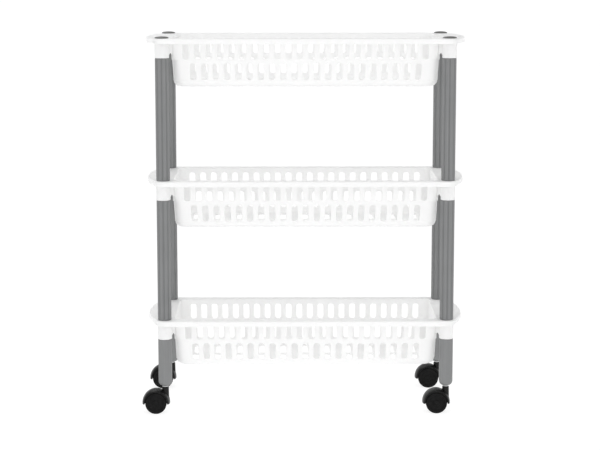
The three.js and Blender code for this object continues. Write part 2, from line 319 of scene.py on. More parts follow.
def round_corner(centre, radius, start, end, steps):
    """Points (radius, height) on a rounded edge of a profile, between two angles in degrees."""
    points = []
    for i in range(steps + 1):
        angle = math.radians(start + (end - start) * i / steps)
        points.append((centre[0] + radius * math.cos(angle), centre[1] + radius * math.sin(angle)))
    return points


# ---- Materials ----

class Shader:
    """A procedural material under construction, with coordinates in metres.

    Keyword arguments are the shader's fixed sockets, with _ for each space.
    """

    def __init__(self, name, slot, **fixed):
        self.material = bpy.data.materials.new(name)
        self.material.use_nodes = True
        self.material["slot"] = slot
        self.nodes = self.material.node_tree.nodes
        self.links = self.material.node_tree.links
        self.surface = self.nodes["Principled BSDF"]
        for socket, value in fixed.items():
            self.surface.inputs[socket.replace("_", " ")].default_value = value
        self.place = self.nodes.new("ShaderNodeTexCoord").outputs["Object"]

    def node(self, kind, inputs=(), **settings):
        node = self.nodes.new(kind)
        for name, value in settings.items():
            setattr(node, name, value)
        for socket, value in dict(inputs).items():
            if isinstance(value, bpy.types.NodeSocket):
                self.links.new(value, node.inputs[socket])
            else:
                node.inputs[socket].default_value = value
        return node

    def stretched(self, scale):
        return self.node("ShaderNodeMapping", {"Vector": self.place, "Scale": scale}).outputs["Vector"]

    def noise(self, scale, detail=3.0, vector=None):
        settings = {"Vector": vector or self.place, "Scale": scale, "Detail": detail}
        return self.node("ShaderNodeTexNoise", settings).outputs["Fac"]

    def remap(self, value, low, high, start=0.3, end=0.7):
        """Goes from low to high while value goes from start to end."""
        settings = {"Value": value, "From Min": start, "From Max": end, "To Min": low, "To Max": high}
        return self.node("ShaderNodeMapRange", settings).outputs["Result"]

    def mix(self, factor, first, second):
        node = self.node("ShaderNodeMix", data_type="RGBA")
        colour_inputs = (node.inputs[0], node.inputs[6], node.inputs[7])
        for socket, value in zip(colour_inputs, (factor, first, second)):
            if isinstance(value, bpy.types.NodeSocket):
                self.links.new(value, socket)
            else:
                socket.default_value = value
        return node.outputs[2]

    def multiply(self, first, second):
        return self.node("ShaderNodeMath", {0: first, 1: second}, operation="MULTIPLY").outputs[0]

    def add(self, first, second):
        return self.node("ShaderNodeMath", {0: first, 1: second}, operation="ADD").outputs[0]

    def edges(self):
        """1 along convex edges, 0 elsewhere."""
        geometry = self.node("ShaderNodeNewGeometry")
        return self.remap(geometry.outputs["Pointiness"], 0.0, 1.0, *CONVEX)

    def hollow_shade(self):
        """1 along the bottom of narrow channels, 0 elsewhere: the mask for the painted shade in the
        tubes' grooves.
        """
        geometry = self.node("ShaderNodeNewGeometry")
        return self.remap(geometry.outputs["Pointiness"], 1.0, 0.0, *HOLLOW)

    def colour(self, value):
        self.links.new(value, self.surface.inputs["Base Color"])

    def roughness(self, value):
        self.links.new(value, self.surface.inputs["Roughness"])

    def bump(self, height, strength, distance):
        settings = {"Height": height, "Strength": strength, "Distance": distance}
        normal = self.node("ShaderNodeBump", settings).outputs["Normal"]
        self.links.new(normal, self.surface.inputs["Normal"])


def rgb(red, green, blue):
    return (red, green, blue, 1.0)


def grey(level):
    return rgb(level, level, level)


def basket_plastic():
    """White polypropylene, slightly translucent: a fine mould grain, faint flow marks, worn edges."""
    shader = Shader("basket_white", "basket_white", IOR=1.49, Subsurface_Weight=1.0,
                    Subsurface_Radius=(1.0, 1.0, 1.0), Subsurface_Scale=0.002)
    flow = shader.noise(9.0, 4.0)
    grain = shader.noise(2600.0, 2.0)
    patches = shader.noise(60.0, 5.0)
    plain_tone = shader.mix(shader.remap(flow, 0.0, 1.0), rgb(0.945, 0.945, 0.94), rgb(0.96, 0.96, 0.955))
    shader.colour(shader.mix(shader.multiply(shader.edges(), 0.5), plain_tone, rgb(0.97, 0.97, 0.965)))
    shader.roughness(shader.remap(patches, 0.36, 0.5))
    shader.bump(shader.add(grain, shader.multiply(patches, 0.6)), 0.12, 0.0004)
    return shader.material


def tube_plastic():
    """Grey extruded plastic with fine draw lines along the tube, and painted shade darkening the
    bottoms of its grooves.
    """
    shader = Shader("tube_grey", "tube_grey", IOR=1.5, Specular_IOR_Level=0.12)
    lines = shader.noise(1.0, 4.0, shader.stretched((900.0, 900.0, 6.0)))
    patches = shader.noise(35.0, 4.0)
    base = shader.mix(shader.remap(lines, 0.0, 1.0), rgb(0.22, 0.224, 0.226), rgb(0.262, 0.266, 0.268))
    plain_tone = shader.mix(shader.remap(patches, 0.0, 0.35), base, rgb(0.285, 0.288, 0.29))
    # Painted shade: the bottoms of the flutes' grooves are darkened towards near-black in place of the
    # shade that falls in them.
    shader.colour(shader.mix(shader.multiply(shader.hollow_shade(), 0.6), plain_tone, rgb(0.08, 0.082, 0.084)))
    shader.roughness(shader.remap(patches, 0.38, 0.5))
    shader.bump(lines, 0.25, 0.0003)
    return shader.material


def cap_plastic():
    """Darker grey moulded plastic with a fine grain."""
    shader = Shader("cap_grey", "cap_grey", IOR=1.5)
    grain = shader.noise(3200.0, 2.0)
    patches = shader.noise(150.0, 4.0)
    share = shader.remap(patches, 0.0, 1.0)
    shader.colour(shader.mix(share, rgb(0.12, 0.12, 0.118), rgb(0.16, 0.16, 0.155)))
    shader.roughness(shader.remap(patches, 0.4, 0.52))
    shader.bump(grain, 0.2, 0.0003)
    return shader.material


def nylon():
    """Natural nylon of the hidden sockets."""
    shader = Shader("socket_nylon", "socket_nylon", IOR=1.53)
    patches = shader.noise(200.0, 3.0)
    share = shader.remap(patches, 0.0, 1.0)
    shader.colour(shader.mix(share, rgb(0.66, 0.65, 0.6), rgb(0.74, 0.73, 0.69)))
    shader.roughness(shader.remap(patches, 0.35, 0.5))
    shader.bump(patches, 0.1, 0.0003)
    return shader.material


def steel():
    """Bright zinc-plated steel with fine turning marks."""
    shader = Shader("steel", "steel", Metallic=1.0)
    marks = shader.noise(1.0, 3.0, shader.stretched((200.0, 200.0, 9000.0)))
    spots = shader.noise(900.0, 3.0)
    share = shader.remap(spots, 0.0, 1.0)
    shader.colour(shader.mix(share, rgb(0.62, 0.63, 0.64), grey(0.74)))
    shader.roughness(shader.remap(marks, 0.2, 0.36))
    shader.bump(marks, 0.15, 0.0002)
    return shader.material


def housing_plastic():
    """Satin black nylon with a spark-eroded grain, paler on its worn edges."""
    shader = Shader("housing_black", "housing_black", IOR=1.53, Specular_IOR_Level=0.2)
    grain = shader.noise(2400.0, 2.0)
    patches = shader.noise(120.0, 4.0)
    base = shader.mix(shader.remap(patches, 0.0, 1.0), grey(0.003), grey(0.006))
    shader.colour(shader.mix(shader.multiply(shader.edges(), 0.5), base, grey(0.018)))
    shader.roughness(shader.remap(patches, 0.3, 0.44))
    shader.bump(grain, 0.3, 0.0003)
    return shader.material


def wheel_plastic(centre):
    """Hard black plastic, dusty and scuffed on the tread."""
    shader = Shader("wheel_black", "wheel_black", IOR=1.53, Specular_IOR_Level=0.06)
    apart = shader.node("ShaderNodeSeparateXYZ", {0: shader.place})
    across = shader.add(apart.outputs["X"], -centre[0])
    up = shader.add(apart.outputs["Z"], -centre[2])
    square = shader.add(shader.multiply(across, across), shader.multiply(up, up))
    reach = shader.node("ShaderNodeMath", {0: square, 1: 0.5}, operation="POWER").outputs[0]
    tread = shader.remap(reach, 0.0, 1.0, *DUSTY_R)
    dust = shader.remap(shader.noise(700.0, 5.0), 0.0, 1.0, 0.42, 0.62)
    patches = shader.noise(160.0, 4.0)
    base = shader.mix(shader.remap(patches, 0.0, 1.0), grey(0.008), grey(0.014))
    dusty = shader.multiply(shader.multiply(tread, dust), 0.5)
    shader.colour(shader.mix(dusty, base, rgb(0.07, 0.067, 0.06)))
    shader.roughness(shader.add(shader.remap(patches, 0.28, 0.4), shader.multiply(tread, 0.2)))
    shader.bump(shader.noise(1800.0, 3.0), 0.2, 0.0003)
    return shader.material


# ---- Baskets (built with the rim's top at height 0) ----

STRAIGHT_X = TUB_HALF_X - TUB_CORNER_R
STRAIGHT_Y = TUB_HALF_Y - TUB_CORNER_R
SLOT_PITCH = 2 * STRAIGHT_X / SLOTS_LONG
WALL_DEPTHS = (0.0, *LEDGE, *BASE_LEDGE)
BOTTOM_R = TUB_DEPTH - BASE_LEDGE[1]
PROFILE_END = BASE_LEDGE[1] + BOTTOM_R * math.pi / 2
CORNER_SIGNS = ((1, -1), (1, 1), (-1, 1), (-1, -1))
CORNER_STEPS = 6


def wall_profile(along):
    """Depth, inset and inward normal (down, in) of the wall, at a distance along its outside."""
    if along <= WALL_DEPTHS[-1]:
        i = max(1, bisect.bisect_left(WALL_DEPTHS, along))
        share = (along - WALL_DEPTHS[i - 1]) / (WALL_DEPTHS[i] - WALL_DEPTHS[i - 1])
        return along, WALL_INSETS[i - 1] + (WALL_INSETS[i] - WALL_INSETS[i - 1]) * share, 0.0, 1.0
    turn = (along - WALL_DEPTHS[-1]) / BOTTOM_R
    depth = WALL_DEPTHS[-1] + BOTTOM_R * math.sin(turn)
    return depth, WALL_INSETS[-1] + BOTTOM_R * (1 - math.cos(turn)), math.sin(turn), math.cos(turn)


def tub_point(station, along, inward):
    """The point of the tub's wall at a station round it, `inward` from the outer skin."""
    share_x, share_y, angle = station
    depth, inset, down, level = wall_profile(along)
    radius = TUB_CORNER_R - inward * level
    x = share_x * (TUB_HALF_X - inset - TUB_CORNER_R) + radius * math.cos(angle)
    y = share_y * (TUB_HALF_Y - inset - TUB_CORNER_R) + radius * math.sin(angle)
    return x, y, inward * down - depth


def wall_station(wall, along):
    """A station on one of the four straight walls, numbered from 0: front, right, back, left."""
    angle = (wall - 1) * math.pi / 2
    if wall == 0:
        return along / STRAIGHT_X, -1, angle
    if wall == 1:
        return 1, along / STRAIGHT_Y, angle
    if wall == 2:
        return -along / STRAIGHT_X, 1, angle
    return -1, -along / STRAIGHT_Y, angle


def tub_columns():
    """The stations round the tub, and its slot cells as (first column, wall, middle of the slot)."""
    stations = []
    upper = []
    lower = []
    step = SLOT_PITCH / CELL_STEPS
    for wall in range(4):
        reach = STRAIGHT_Y if wall % 2 else STRAIGHT_X
        slots = SLOTS_END if wall % 2 else SLOTS_LONG
        half_row = slots * SLOT_PITCH / 2
        first = len(stations)
        if reach - half_row > step / 2:
            stations.append(wall_station(wall, -reach))
            first += 1
        stations += [wall_station(wall, i * step - half_row) for i in range(slots * CELL_STEPS)]
        for i in range(slots):
            middle = (i + 0.5) * SLOT_PITCH - half_row
            upper.append((first + i * CELL_STEPS, wall, middle))
            if i < slots - 1:
                lower.append((first + i * CELL_STEPS + CELL_STEPS // 2, wall, middle + SLOT_PITCH / 2))
        if reach - half_row > step / 2:
            stations.append(wall_station(wall, half_row))
        for i in range(CORNER_STEPS):
            angle = (wall - 1 + i / CORNER_STEPS) * math.pi / 2
            stations.append((*CORNER_SIGNS[wall], angle))
    return stations, upper, lower


def slot_outline(width, start, end, radius):
    """Points round a slot with rounded corners, matched to the points round its cell. Y runs down.

    Each corner has five points, 22.5 degrees apart, and each side one point at its middle.
    """
    points = []
    left, right = radius - width / 2, width / 2 - radius
    top, bottom = start + radius, end - radius
    for i, centre in enumerate(((left, top), (right, top), (right, bottom), (left, bottom))):
        for step in range(-2, 3):
            angle = math.radians(135 - 90 * i - 22.5 * step)
            points.append((centre[0] + radius * math.cos(angle),
                           centre[1] - radius * math.sin(angle)))
        following = ((right, top), (right, bottom), (left, bottom), (left, top))[i]
        angle = math.radians(90 - 90 * i)
        halfway = ((centre[0] + following[0]) / 2, (centre[1] + following[1]) / 2)
        points.append((halfway[0] + radius * math.cos(angle),
                       halfway[1] - radius * math.sin(angle)))
    return points[2:] + points[:2]


def slot_row(build, stations, cells, row, slot):
    """One row of the wall: a cell with a slot at each place of cells, and plain wall elsewhere."""
    count = len(stations)
    heights = [row[0] + (row[1] - row[0]) * i / CELL_STEPS for i in range(CELL_STEPS + 1)]
    taken = set()
    for column, wall, middle in cells:
        taken.update((column + i) % count for i in range(CELL_STEPS))
        columns = [(column + i) % count for i in range(CELL_STEPS + 1)]
        edge = [(i, heights[0]) for i in columns[:-1]]
        edge += [(columns[-1], height) for height in heights[:-1]]
        edge += [(i, heights[-1]) for i in reversed(columns[1:])]
        edge += [(columns[0], height) for height in reversed(heights[1:])]
        loops = []
        for spread, inward in ((None, 0.0), (SLOT_BEVEL, 0.0), (0.0, SLOT_BEVEL),
                               (0.0, TUB_WALL - SLOT_BEVEL), (SLOT_BEVEL, TUB_WALL), (None, TUB_WALL)):
            if spread is None:
                loops.append(build.loop(tub_point(stations[i], height, inward) for i, height in edge))
                continue
            outline = slot_outline(SLOT_WIDTH + 2 * spread, slot[0] - spread, slot[1] + spread,
                                   SLOT_CORNER_R + spread)
            loops.append(build.loop(tub_point(wall_station(wall, middle + x), height, inward)
                                    for x, height in outline))
        build.skin(loops)
    for column in set(range(count)) - taken:
        pair = (stations[column], stations[(column + 1) % count])
        for inward in (0.0, TUB_WALL):
            sides = [build.loop(tub_point(station, height, inward) for height in heights)
                     for station in pair]
            build.bridge(*sides, closed=False)


def rim_loop(build, box, inset, height):
    """The rim's outline seen from above, inset from its outer edge."""
    post_y = post_at("front_left")[1]
    sagitta = box[1].x - RIM_END_AT_POST_X
    end_r = post_y ** 2 / (2 * sagitta) + sagitta / 2
    end_x = box[1].x - end_r
    corner_y = box[1].y - RIM_CORNER_R
    corner_x = end_x + math.sqrt((end_r - RIM_CORNER_R) ** 2 - corner_y ** 2)
    turn = math.atan2(corner_y, corner_x - end_x)
    quarter = math.pi / 2
    arcs = (
        (corner_x, -corner_y, RIM_CORNER_R, -quarter, -turn, RIM_CORNER_STEPS),
        (end_x, 0, end_r, -turn, turn, RIM_END_STEPS),
        (corner_x, corner_y, RIM_CORNER_R, turn, quarter, RIM_CORNER_STEPS),
        (-corner_x, corner_y, RIM_CORNER_R, quarter, math.pi - turn, RIM_CORNER_STEPS),
        (-end_x, 0, end_r, math.pi - turn, math.pi + turn, RIM_END_STEPS),
        (-corner_x, -corner_y, RIM_CORNER_R, math.pi + turn, 3 * quarter, RIM_CORNER_STEPS),
    )
    points = []
    for x, y, radius, start, end, steps in arcs:
        for i in range(steps + 1):
            angle = start + (end - start) * i / steps
            reach = radius - inset
            points.append((x + reach * math.cos(angle), y + reach * math.sin(angle), height))
    loop = build.loop(points)
    return list(dict.fromkeys(loop))


def circle(build, centre, radius, height):
    points = []
    for i in range(SMALL_SIDES):
        angle = 2 * math.pi * i / SMALL_SIDES
        points.append((centre[0] + radius * math.cos(angle),
                       centre[1] + radius * math.sin(angle), height))
    return build.loop(points)


def tub_walls(build):
    """The perforated wall down to the edge of the floor. Returns the loops that other parts join."""
    stations, upper, lower = tub_columns()

    def around(along, inward):
        return build.loop(tub_point(station, along, inward) for station in stations)

    slot_row(build, stations, upper, UPPER_ROW, UPPER_SLOT)
    slot_row(build, stations, lower, LOWER_ROW, LOWER_SLOT)
    between = (UPPER_ROW[1], *LEDGE, LOWER_ROW[0])
    under = [LOWER_ROW[1], *BASE_LEDGE]
    under += [BASE_LEDGE[1] + (PROFILE_END - BASE_LEDGE[1]) * i / BOTTOM_STEPS
              for i in range(1, BOTTOM_STEPS + 1)]
    for inward in (0.0, TUB_WALL):
        build.skin([around(along, inward) for along in between])
        build.skin([around(along, inward) for along in under])
    outside = [around(UPPER_ROW[0], 0.0)]
    inside = [around(UPPER_ROW[0], TUB_WALL)]
    for i in range(FILLET_STEPS + 1):
        turn = math.radians(90 * i / FILLET_STEPS)
        outward = -RIM_FILLET * (1 - math.cos(turn))
        depth = RIM_PLATE + RIM_FILLET * (1 - math.sin(turn))
        outside.append(build.loop(
            (*tub_point(station, depth, outward)[:2], -depth) for station in stations))
        inward = TUB_WALL - RIM_FILLET * (1 - math.cos(turn))
        depth = RIM_FILLET * (1 - math.sin(turn))
        inside.append(build.loop(
            (*tub_point(station, depth, inward)[:2], -depth) for station in stations))
    build.skin(outside)
    build.skin(inside)
    floor = (around(PROFILE_END, TUB_WALL), around(PROFILE_END, 0.0))
    return outside[-1], inside[-1], floor


def tub_floor(build, floor):
    """The flat floor with its long slots."""
    heights = [build.verts[loop[0]].z for loop in floor]
    holes = ([], [])
    for column in range(FLOOR_SLOT["columns"]):
        for row in range(FLOOR_SLOT["rows"]):
            x = (column - (FLOOR_SLOT["columns"] - 1) / 2) * FLOOR_SLOT["pitch_x"]
            y = (row - (FLOOR_SLOT["rows"] - 1) / 2) * FLOOR_SLOT["pitch_y"]
            loops = []
            for spread, height in ((SLOT_BEVEL, heights[0]), (0.0, heights[0] - SLOT_BEVEL),
                                   (0.0, heights[1] + SLOT_BEVEL), (SLOT_BEVEL, heights[1])):
                half = FLOOR_SLOT["length"] / 2 + spread
                outline = slot_outline(SLOT_WIDTH + 2 * spread, -half, half, SLOT_CORNER_R + spread)
                loops.append(build.loop((x + across, y + along, height) for across, along in outline))
            build.skin(loops)
            holes[0].append(loops[0])
            holes[1].append(loops[-1])
    for loop, cut in zip(floor, holes):
        build.flat(loop, cut)


def rim(build, box, under_edge, top_edge, posts):
    """The flange round the tub with its rounded, turned-down lip and the sleeves under it."""
    profile = []
    for degrees in range(0, 91, 15):
        turn = math.radians(degrees)
        profile.append((LIP_TOP_R * (1 - math.sin(turn)), -LIP_TOP_R * (1 - math.cos(turn))))
    profile += [
        (0.0, LIP_FOOT_R - LIP_HEIGHT),
        (0.3 * LIP_FOOT_R, 0.3 * LIP_FOOT_R - LIP_HEIGHT),
        (LIP_FOOT_R, -LIP_HEIGHT),
        (LIP_WALL - LIP_FOOT_R, -LIP_HEIGHT),
        (LIP_WALL, LIP_FOOT_R - LIP_HEIGHT),
        (LIP_WALL, -RIM_PLATE),
    ]
    loops = [rim_loop(build, box, inset, height) for inset, height in profile]
    build.skin(loops)
    sleeves = [sleeve(build, post) for post in posts]
    build.flat(loops[0], [top_edge, *(bore[-1] for bore in sleeves)])
    build.flat(loops[-1], [under_edge, *(outside[0] for outside in sleeves)])


def sleeve(build, post):
    """A post's sleeve: its loops run down the outside from the flange and up the bore to the top."""
    top_r = SLEEVE_R - SLEEVE_DRAFT
    profile = [(top_r, -RIM_PLATE), (top_r, -LIP_HEIGHT)]
    outer = (SLEEVE_R - SLEEVE_EDGE_R, SLEEVE_EDGE_R - SLEEVE_DROP)
    inner = (SLEEVE_BORE_R + SLEEVE_BORE_EDGE_R, SLEEVE_BORE_EDGE_R - SLEEVE_DROP)
    profile += round_corner(outer, SLEEVE_EDGE_R, 0, -90, 4)
    profile += round_corner(inner, SLEEVE_BORE_EDGE_R, 270, 180, 3)
    profile += [(SLEEVE_BORE_R, -SLEEVE_MOUTH), (SLEEVE_BORE_R + SLEEVE_MOUTH, 0.0)]
    loops = [circle(build, post, radius, height) for radius, height in profile]
    build.skin(loops)
    return loops


def sleeve_web(build, post):
    """An upright web from a sleeve to the nearest corner of the tub, scooped underneath."""
    corner = Vector((math.copysign(STRAIGHT_X, post[0]), math.copysign(STRAIGHT_Y, post[1]), 0))
    reach = Vector((post[0], post[1], 0)) - corner
    along = reach.normalized()
    across = Vector((-along.y, along.x, 0)) * SLEEVE_WEB_HALF
    rows = []
    for i in range(SLEEVE_WEB_STEPS + 1):
        share = i / SLEEVE_WEB_STEPS
        low = SLEEVE_WEB_RISE + SLEEVE_WEB_SCOOP * math.sin(math.pi * share) - SLEEVE_DROP
        ends = []
        for height in (-RIM_PLATE, low):
            inset = wall_profile(-height)[1] * (abs(along.x) + abs(along.y))
            start = TUB_CORNER_R - inset - SLEEVE_WEB_IN_TUB
            end = reach.length - SLEEVE_R + SLEEVE_WEB_IN_SLEEVE
            ends.append(corner + along * (start + (end - start) * share) + Vector((0, 0, height)))
        top, bottom = ends
        rows.append(build.loop((top + across, top - across, bottom - across, bottom + across)))
    build.skin(rows)
    build.face(rows[0])
    build.face(rows[-1])


def basket(name, material, posts):
    """One moulded basket: tub, floor, rim, sleeves and webs."""
    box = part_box(name)
    build = Builder()
    under_edge, top_edge, floor = tub_walls(build)
    tub_floor(build, floor)
    rim(build, box, under_edge, top_edge, posts)
    for post in posts:
        sleeve_web(build, post)
    for point in build.verts:
        point.z += box[1].z
    build.make(f"{name}_moulding", material, "root", name)


# ---- Posts ----

def fluted(build, centre, profile, depth):
    """A body about an upright axis with grooves along it.

    The profile's third value is the share of the grooves' depth.
    """
    sides = FLUTES * FLUTE_STEPS
    loops = []
    for radius, height, share in profile:
        points = []
        for i in range(sides):
            angle = 2 * math.pi * i / sides
            aside = abs(math.remainder(angle, 2 * math.pi / FLUTES))
            groove = 0.5 + 0.5 * math.cos(math.pi * min(1.0, aside / FLUTE_REACH))
            reach = radius - share * depth * groove
            points.append((centre[0] + reach * math.cos(angle),
                           centre[1] + reach * math.sin(angle), height))
        loops.append(build.loop(points))
    build.skin(loops + loops[:1])


def tube_top(shoulder, top):
    """The upper end of a tube's profile: rounded edge, shoulder, spigot, and the bore back down."""
    inner = shoulder - SHOULDER
    return [
        (TUBE_R, shoulder - FLUTE_RING, 1.0),
        (TUBE_R, shoulder - TUBE_EDGE, 1.0),
        (TUBE_R - TUBE_EDGE, shoulder, FLUTE_AT_EDGE),
        (SPIGOT_R, shoulder, 0.0),
        (SPIGOT_R, top - SPIGOT_TAPER, 0.0),
        (SPIGOT_R - SPIGOT_TAPER_IN, top, 0.0),
        (SPIGOT_BORE_R, top, 0.0),
        (SPIGOT_BORE_R, inner, 0.0),
        (TUBE_BORE_R, inner, 0.0),
    ]


def tube(name, centre, material, shoulder):
    """A tube between two baskets."""
    low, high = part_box(name)
    profile = [
        (TUBE_BORE_R, low.z, 0.0),
        (TUBE_R - TUBE_LOW_EDGE, low.z, FLUTE_AT_EDGE),
        (TUBE_R, low.z + TUBE_EDGE, 1.0),
        (TUBE_R, low.z + FLUTE_RING, 1.0),
    ]
    build = Builder()
    fluted(build, centre, profile + tube_top(shoulder, high.z), FLUTE_DEPTH)
    build.make(f"{name}_fluted", material, "root", name)


def lower_tube(name, centre, material, shoulder):
    """The lowest tubes close in to a rounded foot."""
    low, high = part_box(name)
    profile = [(FOOT_HOLE_R, low.z + FOOT_HOLE_EDGE, 0.0), (FOOT_HOLE_R + FOOT_HOLE_EDGE, low.z, 0.0)]
    for i in range(1, ROUND_STEPS + 1):
        turn = math.radians(90 * i / ROUND_STEPS)
        radius = FOOT_HOLE_R + (TUBE_R - FOOT_HOLE_R) * math.sin(turn)
        height = low.z + FOOT_HEIGHT * (1 - math.cos(turn))
        profile.append((radius, height, i / ROUND_STEPS))
    floor = low.z + FOOT_FLOOR
    inside = [
        (TUBE_BORE_R, floor + FOOT_SLOPE_HEIGHT, 0.0),
        (TUBE_BORE_R - FOOT_SLOPE, floor, 0.0),
        (FOOT_HOLE_R, floor, 0.0),
    ]
    build = Builder()
    fluted(build, centre, profile + tube_top(shoulder, high.z) + inside, FOOT_FLUTE_DEPTH)
    build.make(f"{name}_fluted", material, "root", name)


def cap(name, centre, material):
    """A low dome with a round plug under it. The profile's heights are from the dome's underside."""
    low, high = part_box(name)
    base = low.z + CAP_PLUG_LENGTH
    radius = (high.x - low.x) / 2
    dome = high.z - base
    profile = [
        (0.0, -CAP_PLUG_LENGTH),
        (CAP_PLUG_R - CAP_PLUG_EDGE, -CAP_PLUG_LENGTH),
        (CAP_PLUG_R, CAP_PLUG_EDGE - CAP_PLUG_LENGTH),
        (CAP_PLUG_R, 0.0),
        (radius - CAP_EDGE, 0.0),
        (radius, CAP_EDGE),
        (radius, CAP_SIDE),
    ]
    for i in range(1, CAP_STEPS + 1):
        turn = math.radians(90 * i / CAP_STEPS)
        swell = math.sin(turn) ** CAP_FLATNESS
        profile.append((radius * math.cos(turn), CAP_SIDE + (dome - CAP_SIDE) * swell))
    build = Builder()
    build.turned(profile, CAP_SIDES, (*centre, base))
    build.make(f"{name}_dome", material, "root", name)


# ---- Casters ----

def plain_ring(name, body, material, inner_r, centre, bevel):
    """A bush, ring or sleeve of the CAD's own outer size."""
    low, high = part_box(name)
    outer = (high.x - low.x) / 2
    profile = [(inner_r, low.z + bevel), (inner_r + bevel, low.z), (outer - bevel, low.z),
               (outer, low.z + bevel), (outer, high.z - bevel), (outer - bevel, high.z),
               (inner_r + bevel, high.z), (inner_r, high.z - bevel)]
    build = Builder()
    build.turned(profile, SMALL_SIDES, (*centre, 0.0))
    build.make(f"{name}_turned", material, body, name)


def stem(name, centre, material):
    """A steel pin: the shank in the housing, the collar, and the shaft with its ring groove."""
    low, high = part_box(name)
    collar_r = (high.x - low.x) / 2
    under, over = (low.z + height for height in STEM_COLLAR_HEIGHTS)
    groove_low, groove_high = (high.z - depth for depth in STEM_GROOVE_DEPTHS)
    profile = [
        (0.0, low.z),
        (STEM_SHANK_R - STEM_EDGE, low.z),
        (STEM_SHANK_R, low.z + STEM_EDGE),
        (STEM_SHANK_R, under),
        (collar_r - STEM_COLLAR_LOW_EDGE, under),
        (collar_r, under + STEM_COLLAR_LOW_EDGE),
        (collar_r, over - STEM_EDGE),
        (collar_r - STEM_EDGE, over),
        (STEM_SHAFT_R, over),
        (STEM_SHAFT_R, groove_low),
        (STEM_GROOVE_R, groove_low + STEM_GROOVE_EDGE),
        (STEM_GROOVE_R, groove_high),
        (STEM_SHAFT_R, groove_high),
        (STEM_SHAFT_R, high.z - STEM_TIP),
        (STEM_SHAFT_R - STEM_TIP_IN, high.z),
        (0.0, high.z),
    ]
    build = Builder()
    build.turned(profile, SMALL_SIDES, (*centre, 0.0))
    build.make(f"{name}_turned", material, "root", name)


def axle(name, body, material):
    low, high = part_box(name)
    middle = (low + high) / 2
    radius = (high.z - low.z) / 2
    half = (high.y - low.y) / 2
    profile = [
        (0.0, -half),
        (radius - AXLE_CHAMFER, -half),
        (radius, AXLE_CHAMFER - half),
        (radius, half - AXLE_CHAMFER),
        (radius - AXLE_CHAMFER, half),
        (0.0, half),
    ]
    build = Builder()
    build.turned(profile, AXLE_SIDES, middle, "Y")
    build.make(f"{name}_turned", material, body, name)


def arch(build, centre, outer, half_y):
    """The hood: a strip bent over the wheels, crowned from the middle out to both edges."""
    inner = outer - HOOD_WALL
    section = []
    for i in range(ROUND_STEPS + 1):
        turn = math.radians(90 * i / ROUND_STEPS)
        section.append((outer - HOOD_CROWN * (1 - math.cos(turn)), half_y * math.sin(turn)))
    section += round_corner((inner + HOOD_INNER_R, half_y - HOOD_INNER_R), HOOD_INNER_R, 90, 180, 2)
    section += [(r, -y) for r, y in reversed(section[1:])]
    loops = []
    for i in range(HOOD_STEPS + 1):
        angle = -HOOD_DROP + (math.pi + 2 * HOOD_DROP) * i / HOOD_STEPS
        points = [(centre.x + r * math.cos(angle), centre.y + y, centre.z + r * math.sin(angle))
                  for r, y in section]
        loops.append(build.loop(points))
    build.skin(loops)
    build.face(loops[0])
    build.face(loops[-1])


def web(build, centre, radius, half_y):
    """The plate between the two wheels: a half disc under the hood and a smaller one about the axle."""
    edge = HOUSING_WEB_EDGE
    upper_steps, lower_steps = HOUSING_WEB_STEPS
    outline = []
    for i in range(upper_steps + 1):
        outline.append((radius, -HOOD_DROP + (math.pi + 2 * HOOD_DROP) * i / upper_steps))
    for i in range(lower_steps + 1):
        angle = math.pi + HOOD_DROP + (math.pi - 2 * HOOD_DROP) * i / lower_steps
        outline.append((HOUSING_WEB_LOW_R, angle))
    loops = []
    for inset, y in ((edge, -half_y), (0.0, edge - half_y), (0.0, half_y - edge), (edge, half_y)):
        loops.append(build.loop((centre.x + (r - inset) * math.cos(a), centre.y + y,
                                 centre.z + (r - inset) * math.sin(a)) for r, a in outline))
    build.skin(loops)
    for loop in (loops[0], loops[-1]):
        hub = build.vertex((centre.x, build.verts[loop[0]].y, centre.z))
        for first, second in zip(loop, loop[1:] + loop[:1]):
            build.face((hub, first, second))


def neck(build, post, top, wheel_top):
    """The round neck with the stem's bore."""
    bottom = wheel_top - NECK_IN_HOOD
    profile = [(0.0, bottom), (NECK_R + NECK_FLARE, bottom)]
    profile += round_corner((NECK_R - NECK_EDGE_R, top - NECK_EDGE_R), NECK_EDGE_R, 0, 90, 4)
    profile += [
        (NECK_BORE_R + NECK_BORE_EDGE, top),
        (NECK_BORE_R, top - NECK_BORE_EDGE),
        (NECK_BORE_R, top - NECK_BORE_DEPTH),
        (0.0, top - NECK_BORE_DEPTH),
    ]
    build.turned(profile, SMALL_SIDES, (*post, 0.0))


def housing(corner, post, material):
    """The hood, web and neck of one caster, as one moulding."""
    name = f"caster_housing_{corner}"
    low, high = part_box(name)
    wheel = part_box(f"front_wheel_{corner}")
    axle_low, axle_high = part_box(f"caster_axle_{corner}")
    centre = (axle_low + axle_high) / 2
    outer = centre.x - low.x
    build = Builder()
    arch(build, centre, outer, (high.y - low.y) / 2)
    web(build, centre, outer - HOOD_WALL / 2, HOUSING_WEB_HALF)
    neck(build, post, high.z, wheel[1].z)
    build.make(f"{name}_moulding", material, f"caster_{corner}", name)


